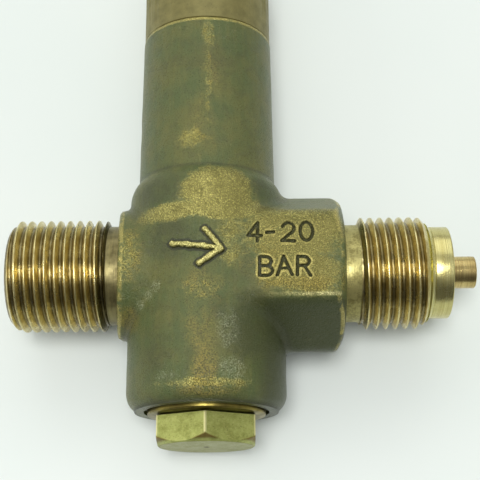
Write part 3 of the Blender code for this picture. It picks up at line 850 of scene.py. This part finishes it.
def thread_brass():
    """Cut threads: worn pale crests, golden flanks, dirt in the roots and a dull neck."""
    n = Nodes("thread_brass")
    x, y, z = n.axes()
    lines = n.noise(1.0, 3, 0.7, n.stretched((5000, 220, 220)))
    blotch = n.noise(380, 5, 0.65)
    grain = n.noise(2600, 3, 0.7)
    off_axis = n.length(y, z)
    base = n.blend(n.ramp(blotch, 0.35, 0.68), (229, 215, 160), (192, 174, 114))
    base = n.tint(base, 0.35, n.ramp(lines, 0.4, 0.7), (156, 136, 82))
    base = n.tint(base, 0.3, n.ramp(off_axis, THREAD_R - 0.1, THREAD_R - 0.02), (214, 206, 150))
    height = n.plus(off_axis, n.times(n.minus(grain, 0.5), 0.5))
    root = n.ramp(height, THREAD_ROOT_R + 0.3, THREAD_ROOT_R)
    side = n.math("ABSOLUTE", n.minus(x, (GAUGE_NECK - INLET_NECK) / 2))
    threaded = n.ramp(side, (GAUGE_NECK + INLET_NECK) / 2 - 0.3, (GAUGE_NECK + INLET_NECK) / 2 + 0.3)
    base = n.tint(base, 0.72, n.times(root, threaded), (58, 47, 24))
    on_neck = n.minus(1.0, threaded)
    base = n.tint(base, 0.85, on_neck, neck_colour(n, x, blotch, grain, lines))
    past_end = n.ramp(x, GAUGE_THREAD_END - 0.75, GAUGE_THREAD_END - 0.35)
    base = n.blend(past_end, base, (220, 214, 158))
    base = n.tint(base, 0.6, n.within(x, -INLET_NECK - 0.55, 0.5, 0.45), (56, 52, 30))
    base = n.tint(base, 0.45, n.ramp(grain, 0.62, 0.75), (74, 60, 30))
    n.bump(n.plus(lines, n.times(grain, 0.5)), 0.00005, 0.9)
    rough = n.plus(n.ramp(blotch, 0.2, 0.8, 0.23, 0.36), n.times(on_neck, 0.12))
    return n.finish(base, n.ramp(on_neck, 0.0, 1.0, 1.0, 0.8), rough)


def plain_metal(name, base, rough):
    n = Nodes(name)
    cloud = n.noise(600, 4, 0.6)
    shade = n.blend(n.ramp(cloud, 0.35, 0.7), base, linear(base, 0.8))
    n.bump(n.noise(3000, 3, 0.6), 0.00002, 0.7)
    return n.finish(shade, 1.0, n.ramp(cloud, 0.2, 0.8, rough, rough + 0.12))


def plain_soft(name, base, rough):
    n = Nodes(name)
    cloud = n.noise(900, 4, 0.6)
    shade = n.blend(n.ramp(cloud, 0.3, 0.7), base, linear(base, 0.85))
    n.bump(cloud, 0.00003, 0.6)
    return n.finish(shade, 0.0, n.ramp(cloud, 0.2, 0.8, rough, rough + 0.1))


# ---- pieces

def dress(obj, material, node, body="housing"):
    """Gives a piece its material and its body, and hides the CAD node that it stands for."""
    obj.data.materials.clear()
    obj.data.materials.append(material)
    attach(obj, body)
    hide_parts(node)


def rough_forging():
    """Overlapping solids, remeshed into one closed skin of even faces."""
    shape = bmesh.new()
    add_bar(shape, BODY_R - 0.1, BODY_BOTTOM + 0.1, BODY_TOP - 2.5, "Y", 96)
    add_bar(shape, COLUMN_R - 0.1, 0, COLUMN_TOP, "Y", 96)
    add_bar(shape, BOSS_HALF_HEIGHT, -BOSS_FACE + 0.5, 0, "X", 96)
    add_bar(shape, BLOCK_HALF * 2 / math.sqrt(3) - 0.6, 0, BLOCK_FACE, "X", 6)
    obj = finished_object("forging", shape)
    remesh = obj.modifiers.new("Skin", "REMESH")
    remesh.mode = "VOXEL"
    remesh.voxel_size = VOXEL
    bake(obj)
    return obj


def refine_marks(obj):
    """Splits the faces round the arrow and the stamped text so that both come out crisp."""
    shape = bmesh.new()
    shape.from_mesh(obj.data)
    for reach_out in (1.1, 0.75):
        x, y, z = np.array([(edge.verts[0].co + edge.verts[1].co) / 2 for edge in shape.edges]).T
        close = (z > 8) & (arrow_distance(x, y) < reach_out) | (stamp_distance(x, y, z) < reach_out)
        edges = [edge for edge, use in zip(shape.edges, close) if use]
        bmesh.ops.subdivide_edges(shape, edges=edges, cuts=1, use_grid_fill=True)
    bmesh.ops.triangulate(shape, faces=[f for f in shape.faces if len(f.verts) > 4])
    shape.to_mesh(obj.data)
    shape.free()


def stepped(start, bores):
    """Outline of bores of falling size, one behind the other, as (radius, along) points."""
    outline = [(0, start)]
    for radius, end in bores:
        outline += [(radius, start), (radius, end)]
        start = end
    return [*outline, (0, start)]


def straight(name, radius, low, high, axis="Y", steps=32):
    return lathe(name, stepped(low, [(radius, high)]), axis, steps)


def bore_cutters():
    """The chambers and passages inside the forging, as in the CAD body."""
    spring_bore = lathe("spring_bore", stepped(SPIGOT_TOP, COLUMN_BORES), steps=64)
    plug_bore = lathe("plug_bore", [
        (0, CHAMBER_TOP), (CHAMBER_R, CHAMBER_TOP), (CHAMBER_R, CHAMBER_BOTTOM),
        (PLUG_BORE_R, CHAMBER_BOTTOM - 0.9), (PLUG_BORE_R, SPOTFACE_Y), (SPOTFACE_R, SPOTFACE_Y),
        (SPOTFACE_R, BODY_BOTTOM - 4), (0, BODY_BOTTOM - 4)], steps=96)
    inlet = straight("inlet_bore", INLET_BORE_R, -BOSS_FACE - 3.5, -BOSS_FACE + 3.5, "X", 48)
    gauge = straight("gauge_bore", GAUGE_BORE_R, 2.0, 30.0, "X")
    slant = straight("inlet_passage", PASSAGE_R, -11.0, 10.0, "X")
    turn = Matrix.Rotation(-PASSAGE_SLOPE, 4, "Z")
    shift = Matrix.Translation(CROSS + PASSAGE_MIDDLE * MM)
    slant.data.transform(shift @ turn @ Matrix.Translation(-CROSS))
    return [spring_bore, plug_bore, inlet, gauge, slant]


def note_shape(body):
    """Stores how the surface bends and how near its marks are, for the wear, the marks and the painted
    shade in the hollows.
    """
    spots = (vertex_places(body) - np.array(CROSS)) / MM
    on_front = np.where(spots[:, 2] > 8, 0, 99)
    values = {"bend": bend(spots, forging),
              "arrow": arrow_distance(spots[:, 0], spots[:, 1]) + on_front,
              "stamp": stamp_distance(*spots.T)}
    for name, value in values.items():
        store = body.data.attributes.new(name, "FLOAT", "POINT")
        store.data.foreach_set("value", value.astype(np.float32))


def make_forging():
    body = rough_forging()
    refine_marks(body)
    edges = np.empty(len(body.data.edges) * 2, int)
    body.data.edges.foreach_get("vertices", edges)
    points = relax(settle(vertex_places(body), forging), edges.reshape(-1, 2), forging)
    for point in points:
        wave = noise.noise(Vector(point) * 0.28) * 0.05 + noise.noise(Vector(point) * 0.9) * 0.02
        point += wave * Vector((point[0], 0, point[2])).normalized()
    body.data.vertices.foreach_set("co", place(points).ravel())
    body.data.update()
    for cutter in bore_cutters():
        combine(body, cutter, "DIFFERENCE")
    smooth_below(body, 40)
    body.name = "forged_body"
    note_shape(body)
    dress(body, patina_brass(), "valve_body")


def thread_radius(along, angle, crest, hand, start, end):
    """Radius of a pipe thread with a crest at `crest` on its top side, cut back at both ends."""
    turn = (along - crest) / THREAD_PITCH - hand * angle / math.tau
    off_crest = np.abs((turn + 0.5) % 1.0 - 0.5)
    flank = THREAD_R + THREAD_HEIGHT / 8 - 2 * THREAD_HEIGHT * off_crest
    radius = smooth_max(smooth_min(flank, THREAD_R, 0.10), THREAD_ROOT_R, 0.14)
    fade_in = THREAD_ROOT_R + np.clip(along - start, 0, 3) * THREAD_RUN_IN
    fade_out = THREAD_R - np.clip(along - (end - THREAD_TIP), 0, 2) * THREAD_TIP_SLOPE
    return np.minimum(np.minimum(radius, fade_in), fade_out)


def nicks(along, angle):
    """Small dents and wear on a thread, in mm."""
    dents = [noise.noise(Vector((s * 1.7, 9 * math.sin(a), 9 * math.cos(a))))
             for s, a in zip(along, angle)]
    return np.clip(np.array(dents) - 0.42, 0, 0.25) * 0.55


def threaded_piece(name, tail, sign, neck_r, stations, crest, steps=144):
    """A threaded end as one closed turned piece, from its root in the forging to its tip and bore.

    stations is (piece start, thread start, thread end), away from the column axis.
    """
    root, start, end = stations
    angle = np.arange(steps) * math.tau / steps
    rings = [(np.full(steps, s), np.full(steps, neck_r)) for s in (root, start - 0.25)]
    for s in np.arange(start, end + 1e-6, THREAD_STEP):
        along = np.full(steps, s)
        radius = thread_radius(along, angle, crest, sign, start, end)
        rings.append((along, radius - nicks(along, angle)))
    rings += [(np.full(steps, s), np.full(steps, r)) for s, r in tail]
    along = sign * np.array([ring[0] for ring in rings])
    points, faces = revolved("X", along, np.array([ring[1] for ring in rings]), steps)
    return smooth_below(outward(mesh_object(name, points, faces)), 50)


def make_threads():
    root = BOSS_FACE - 2.5
    bore = INLET_BORE_R + 0.1
    inlet = threaded_piece("inlet_thread", [
        (INLET_END, 8.85), (INLET_END, bore + 0.4), (INLET_END - 0.4, bore), (root, bore)],
        -1, INLET_NECK_R, (root, INLET_NECK, INLET_END), INLET_CREST)
    root = BLOCK_FACE - 1.5
    gauge = threaded_piece("gauge_thread", [
        (GAUGE_THREAD_END, 9.3), (GAUGE_THREAD_END + 0.5, 8.6), (COLLAR_START, 8.45),
        (COLLAR_START, GAUGE_BORE_R), (root, GAUGE_BORE_R)],
        1, GAUGE_NECK_R, (root, GAUGE_NECK, GAUGE_THREAD_END), GAUGE_CREST)
    brass = thread_brass()
    dress(inlet, brass, "valve_body")
    dress(gauge, brass, "valve_body")


def make_collar():
    """The sealing collar and pin at the gauge's end, one turned piece."""
    collar = lathe("gauge_collar", [
        (GAUGE_BORE_R, COLLAR_START - 0.2), (COLLAR_R - 0.2, COLLAR_START - 0.2),
        (COLLAR_R, COLLAR_START + 0.05), (COLLAR_R, GAUGE_END), (PIN_R, GAUGE_END),
        (PIN_R, GAUGE_PIN), (GAUGE_BORE_R, GAUGE_PIN)], "X", edge=0.25)
    dress(collar, clean_brass(), "valve_body")


def make_plug():
    """The hexagon with its corners turned back, a punch mark in its end, and the shank."""
    head = prism("plug_piece", PLUG_FLATS, PLUG_END, PLUG_TOP, turn=math.radians(1.0))
    face_r, corner_r = PLUG_FLATS / 2 - 0.25, PLUG_FLATS / math.sqrt(3) + 0.6
    drop = (corner_r - face_r) * CHAMFER_SLOPE
    limit = lathe("limit", [(0, PLUG_END), (face_r, PLUG_END), (corner_r, PLUG_END + drop),
                            (corner_r, PLUG_TOP + 0.5), (0, PLUG_TOP + 0.5)], steps=160)
    combine(head, limit, "INTERSECT")
    punch = lathe("punch", [(0, PLUG_END - 1), (1.0, PLUG_END - 1), (0, PLUG_END + 0.6)], steps=24)
    combine(head, punch, "DIFFERENCE")
    shank = lathe("shank", [
        (0, PLUG_TOP - 0.6), (PLUG_SHANK_R, PLUG_TOP - 0.6), (PLUG_SHANK_R, PLUG_SHANK_TOP - 0.7),
        (PLUG_SHANK_R - 0.78, PLUG_SHANK_TOP), (0, PLUG_SHANK_TOP)], steps=96)
    combine(head, shank, "UNION")
    soften(head, 0.16)
    dress(head, plug_brass(), "bottom_plug")


def make_washer():
    washer = lathe("washer_piece", [
        (WASHER_BORE_R, SPOTFACE_Y - 0.1), (WASHER_R, SPOTFACE_Y - 0.1),
        (WASHER_R, WASHER_BOTTOM + 0.3), (WASHER_R - 1.1, WASHER_BOTTOM),
        (WASHER_BORE_R, WASHER_BOTTOM)], edge=0.25)
    brass = turned_brass("washer_brass", (146, 132, 66), (92, 82, 44), "Y")
    dress(washer, brass, "plug_washer")


def make_cap(brown):
    """The spring cap: round below, a hexagon above, and a neck for the cover."""
    cap = lathe("cap_piece", [
        (0, CAP_NECK_TOP), (CAP_NECK_R - 0.5, CAP_NECK_TOP), (CAP_NECK_R, CAP_NECK_TOP - 0.5),
        (CAP_NECK_R, CAP_TOP), (COVER_R - 0.4, CAP_TOP), (CAP_R, CAP_TOP - 0.9),
        (CAP_R, COLUMN_TOP + 0.12), (CAP_R - 0.1, COLUMN_TOP + 0.03),
        (SPIGOT_R + 0.3, COLUMN_TOP + 0.03), (SPIGOT_R + 0.3, SPIGOT_TOP + 0.3),
        (CAP_BORE_R, SPIGOT_TOP + 0.3), (CAP_BORE_R, CAP_BORE_TOP - 2.0),
        (CAP_BORE_R - 2.2, CAP_BORE_TOP), (0, CAP_BORE_TOP)], steps=160)
    limit = prism("cap_limit", CAP_HEX_FLATS, CAP_HEX, CAP_NECK_TOP + 1)
    keep = lathe("cap_keep", [(0, CAP_BOTTOM - 1), (14.0, CAP_BOTTOM - 1), (14.0, CAP_HEX),
                              (0, CAP_HEX + 2.0)], steps=64)
    combine(limit, keep, "UNION")
    combine(cap, limit, "INTERSECT")
    hole = straight("cap_hole", SCREW_HOLE_R, CAP_BORE_TOP - 5.5, CAP_NECK_TOP + 1, steps=48)
    combine(cap, hole, "DIFFERENCE")
    soften(cap, 0.15)
    dress(cap, brown, "spring_cap")


def make_spigot(brown):
    """The forging's turned end inside the cap."""
    bore = COLUMN_BORES[0][0]
    spigot = lathe("spigot_piece", [
        (bore, COLUMN_TOP - 0.4), (SPIGOT_R, COLUMN_TOP - 0.4), (SPIGOT_R, SPIGOT_TOP - 0.5),
        (SPIGOT_R - 0.5, SPIGOT_TOP), (bore, SPIGOT_TOP)])
    dress(spigot, brown, "valve_body")


def make_cover(brown):
    """The screwed cover, with grip grooves round it."""
    cover = lathe("cover_piece", [
        (0, COVER_TOP), (COVER_R - 2.2, COVER_TOP), (COVER_R - 0.7, COVER_TOP - 0.6),
        (COVER_R, COVER_TOP - 2.0), (COVER_R, COVER_BOTTOM + 0.3), (COVER_R - 0.3, COVER_BOTTOM),
        (COVER_BORE_R, COVER_BOTTOM), (COVER_BORE_R, COVER_TOP - 3.4),
        (COVER_BORE_R - 1.3, COVER_TOP - 2.0), (0, COVER_TOP - 2.0)], steps=160)
    for i in range(COVER_GROOVES):
        angle = math.tau * i / COVER_GROOVES
        groove = straight("groove", GROOVE_R, COVER_BOTTOM + 3.0, COVER_TOP - 3.0, steps=16)
        groove.data.transform(Matrix.Translation(on_axis("Y", 0, (COVER_R + 0.35) * MM, angle)))
        combine(cover, groove, "DIFFERENCE")
    soften(cover, 0.12)
    dress(cover, brown, "cover_cap", "cover")


def spring_half(name, first, last):
    """A closed tube along the main spring's wire, from one turn to another."""
    bottom = reach("main_spring", 1, -1) + SPRING_WIRE_R
    top = reach("main_spring", 1, 1) - SPRING_WIRE_R
    turn = np.linspace(first, last, int((last - first) * COIL_STEPS) + 1)
    height = np.interp(turn, [0, 1, SPRING_TURNS - 1, SPRING_TURNS],
                       [bottom, bottom + SPRING_DEAD_COIL, top - SPRING_DEAD_COIL, top])
    angle = (math.tau * turn)[:, None]
    wire_angle = np.arange(WIRE_STEPS) * math.tau / WIRE_STEPS
    radius = reach("main_spring", 0, 1) - SPRING_WIRE_R + SPRING_WIRE_R * np.cos(wire_angle)
    along = height[:, None] + SPRING_WIRE_R * np.sin(wire_angle)
    points = np.stack([radius * np.cos(angle), along, radius * np.sin(angle)], -1)
    index = np.arange(len(turn) * WIRE_STEPS).reshape(-1, WIRE_STEPS)
    beside = np.roll(index, -1, 1)
    walls = np.stack([index[:-1], index[1:], beside[1:], beside[:-1]], -1).reshape(-1, 4)
    return outward(mesh_object(name, points.reshape(-1, 3), [*walls, index[0], index[-1]]))


def make_spring():
    """The main spring in two halves."""
    bottom, top = reach("main_spring", 1, -1), reach("main_spring", 1, 1)
    wire = plain_metal("spring_wire", (128, 128, 132), 0.34)
    lower = spring_half("spring_lower_half", 0, SPRING_TURNS / 2)
    upper = spring_half("spring_upper_half", SPRING_TURNS / 2, SPRING_TURNS)
    for half, plate, end in ((lower, "valve_stack", bottom + SPRING_DEAD_COIL),
                             (upper, "spring_seat", top - SPRING_DEAD_COIL)):
        half.data.materials.append(wire)
        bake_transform(half)
        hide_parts("main_spring")


def dress_frame_nodes():
    """Gives the CAD nodes that stay their own procedural materials."""
    steel = plain_metal("turned_steel", (176, 178, 180), 0.28)
    brass = turned_brass("inner_brass", (190, 160, 92), (150, 122, 66), "Y", 0.3)
    copper = plain_metal("soft_copper", (178, 110, 78), 0.4)
    rubber = plain_soft("black_rubber", (28, 28, 28), 0.6)
    white = plain_soft("white_polymer", (226, 224, 214), 0.4)
    looks = {
        steel: ("seat_ring", "valve_disc", "valve_stem", "thrust_ball", "lower_spring_plate",
                "upper_spring_plate", "adjusting_screw"),
        brass: ("guide_bush", "bush_lock_ring", "lock_nut", "throttle_insert"),
        copper: ("seat_gasket",),
        rubber: ("stem_o_ring", "bush_o_ring"),
        white: ("disc_seal", "cover_gasket"),
    }
    for material, names in looks.items():
        for name in names:
            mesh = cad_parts[name].data
            mesh.materials.clear()
            mesh.materials.append(material)


# ---- stage, light, camera

def make_floor():
    bpy.ops.mesh.primitive_plane_add(size=3.0, location=(0, 0, -0.0001))
    floor = bpy.context.object
    floor.name = "floor"
    n = Nodes("pale_sheet")
    cloud = n.noise(14, 3, 0.5)
    base = n.blend(n.ramp(cloud, 0.35, 0.65), (226, 232, 227), (223, 230, 225))
    floor.data.materials.append(n.finish(base, 0.0, 0.42))


def make_world():
    """Pale light from all round, weaker from the plug's side."""
    world = bpy.data.worlds.new("studio")
    bpy.context.scene.world = world
    world.use_nodes = True
    nodes, links = world.node_tree.nodes, world.node_tree.links
    background = nodes["Background"]
    sky = nodes.new("ShaderNodeTexCoord")
    split = nodes.new("ShaderNodeSeparateXYZ")
    fade = nodes.new("ShaderNodeMapRange")
    limits = {"From Min": -0.75, "From Max": -0.05, "To Min": 0.12, "To Max": WORLD_LIGHT}
    for key, value in limits.items():
        fade.inputs[key].default_value = value
    links.new(sky.outputs["Generated"], split.inputs[0])
    links.new(split.outputs["Y"], fade.inputs["Value"])
    links.new(fade.outputs["Result"], background.inputs["Strength"])
    background.inputs["Color"].default_value = (0.96, 0.98, 0.96, 1.0)


def add_light(name, power, size, location, tint=(1.0, 1.0, 1.0)):
    """A square area light, aimed at the crossing point."""
    data = bpy.data.lights.new(name, "AREA")
    data.energy = power
    data.size = size
    data.color = tint
    light = add_object(name, data)
    light.location = location
    light.rotation_euler = (CROSS - Vector(location)).to_track_quat("-Z", "Y").to_euler()


def make_lights():
    pale = (0.985, 1.0, 0.985)
    add_light("overhead", 8.8, 0.42, (-0.06, -0.15, 1.2))
    add_light("far_side", 9.0, 1.6, (0.0, 1.5, 1.1), pale)
    add_light("left_side", 5.0, 1.2, (-1.5, 0.2, 0.6), pale)
    add_light("right_side", 1.2, 1.2, (1.5, 0.2, 0.6), pale)


def make_camera():
    data = bpy.data.cameras.new("view")
    data.lens = VIEW_LENS
    data.sensor_width = 36.0
    camera = add_object("view", data)
    turn = (Matrix.Rotation(math.radians(VIEW_YAW), 4, "Y")
            @ Matrix.Rotation(math.radians(VIEW_TILT), 4, "X")
            @ Matrix.Rotation(math.radians(-VIEW_ROLL), 4, "Z"))
    camera.matrix_world = (Matrix.Translation(CROSS) @ turn
                           @ Matrix.Translation(Vector(VIEW_STANDOFF) * MM))
    bpy.context.scene.camera = camera


def main():
    make_camera()
    make_forging()
    make_threads()
    make_collar()
    make_plug()
    make_washer()
    brown = turned_brass("browned_brass", (136, 128, 76), (108, 102, 58), "Y", 0.4, 0.4, 0.38)
    make_cap(brown)
    make_spigot(brown)
    make_cover(brown)
    make_spring()
    dress_frame_nodes()
    make_floor()
    make_world()
    make_lights()
    bpy.context.scene.view_settings.view_transform = "Standard"


main()
